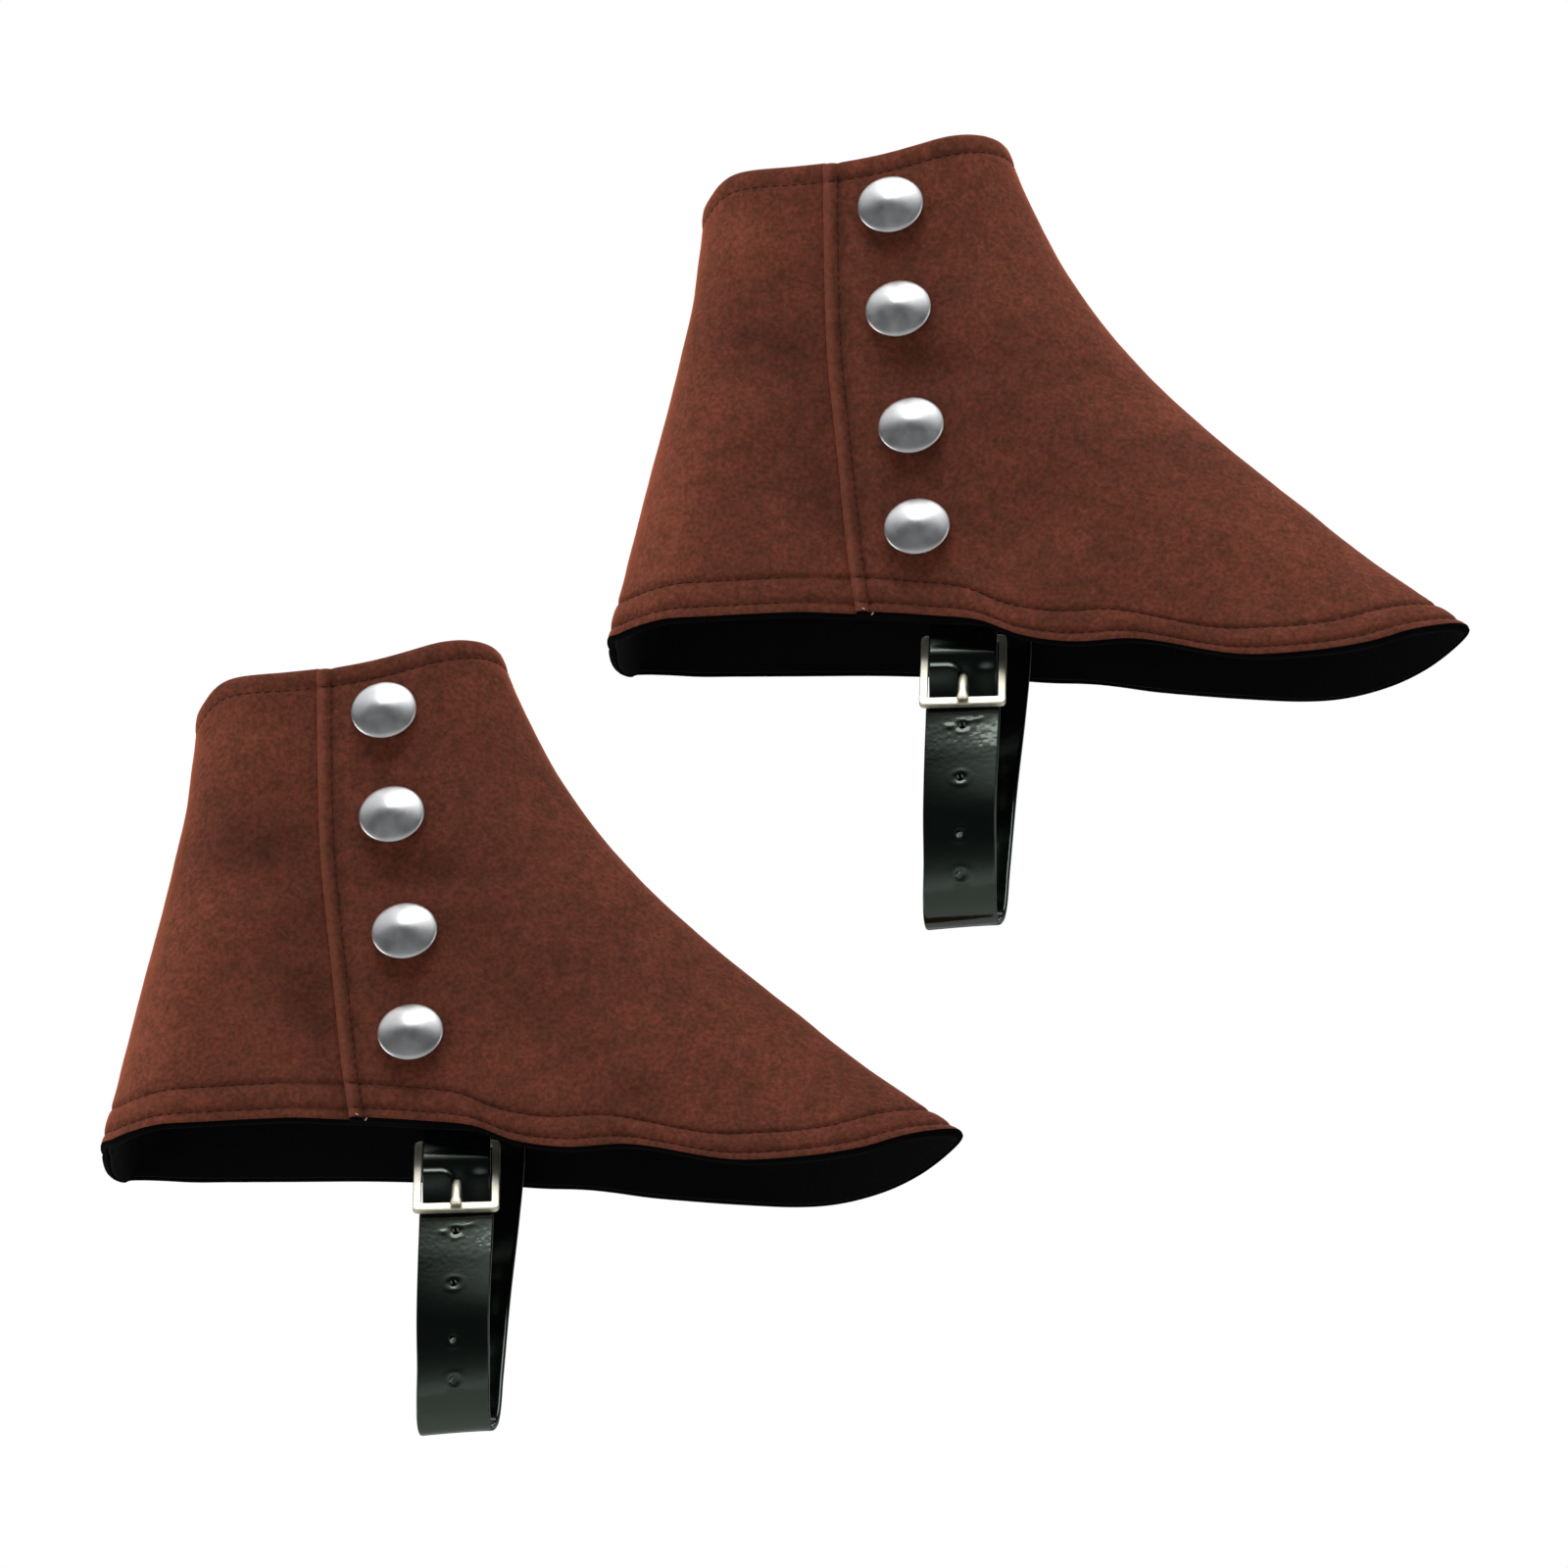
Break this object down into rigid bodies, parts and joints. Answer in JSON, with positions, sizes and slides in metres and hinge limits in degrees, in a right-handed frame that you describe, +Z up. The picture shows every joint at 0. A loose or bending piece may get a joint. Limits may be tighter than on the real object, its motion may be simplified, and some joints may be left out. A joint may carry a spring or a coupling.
{
  "type": "pair of boot covers",
  "caption": "Pair of flared felt spats with a buttoned side, a black lining and a buckled strap that passes under the shoe's arch.",
  "frame": {"origin": "centre of the lower cover's ankle opening, where the wearer's ankle holds it; the upper cover's ankle opening is 0.157 m forward and 0.157 m up from it", "axes": "+X towards the toes, +Y away from the buttoned side, +Z up the leg"},
  "size_m": [0.4256, 0.0631, 0.4167],
  "materials": {
    "felt": "brown wool felt with a short nap",
    "lining": "black matt knit backing",
    "patent": "black patent, glossy",
    "cap": "nickel plated, softly polished",
    "buckle": "nickel plated, polished"
  },
  "bodies": {
    "root": {"lower_outer_front": "felt", "lower_outer_back": "felt", "lower_inner_side": "felt", "lower_lining_outer": "lining", "lower_lining_inner": "lining", "lower_button_1": "cap", "lower_button_2": "cap", "lower_button_3": "cap", "lower_button_4": "cap", "lower_strap": "patent", "lower_buckle": "buckle", "lower_prong": "buckle", "lower_tab": "patent", "upper_outer_front": "felt", "upper_outer_back": "felt", "upper_inner_side": "felt", "upper_lining_outer": "lining", "upper_lining_inner": "lining", "upper_button_1": "cap", "upper_button_2": "cap", "upper_button_3": "cap", "upper_button_4": "cap", "upper_strap": "patent", "upper_buckle": "buckle", "upper_prong": "buckle", "upper_tab": "patent"}
  },
  "joints": []
}
